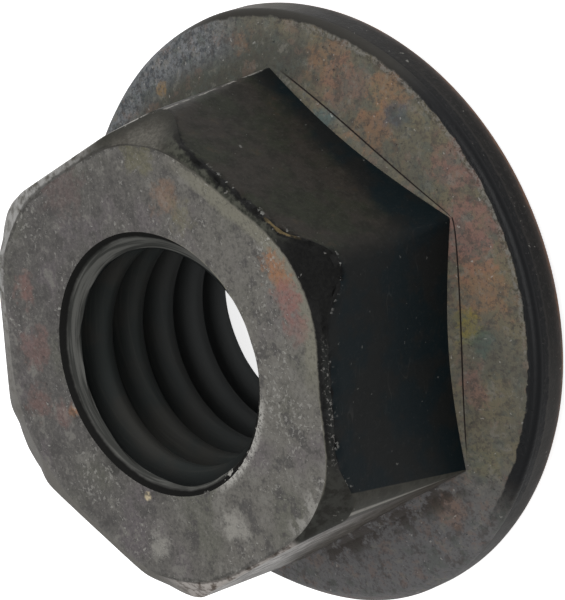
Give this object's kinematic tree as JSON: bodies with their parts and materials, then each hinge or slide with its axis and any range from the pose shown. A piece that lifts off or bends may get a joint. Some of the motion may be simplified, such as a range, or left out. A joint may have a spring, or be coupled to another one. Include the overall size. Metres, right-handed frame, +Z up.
{
  "type": "serrated flange nut",
  "caption": "Hexagon nut forged with a round flange, whose underside carries radial serrations that bite as it is tightened; threaded right through",
  "frame": {"origin": "centre of the seat, in the plane of the serration crests", "axes": "+Z runs up the thread's axis from the seat to the hex face; two corners of the hexagon lie on the X axis, and two flats face +Y and -Y"},
  "size_m": [0.014, 0.014, 0.0058],
  "materials": {
    "dark_steel": "black oxide on forged steel, matt on the faces and glossy on the pressed sides"
  },
  "bodies": {
    "root": {"flange_nut": "dark_steel"}
  },
  "joints": []
}
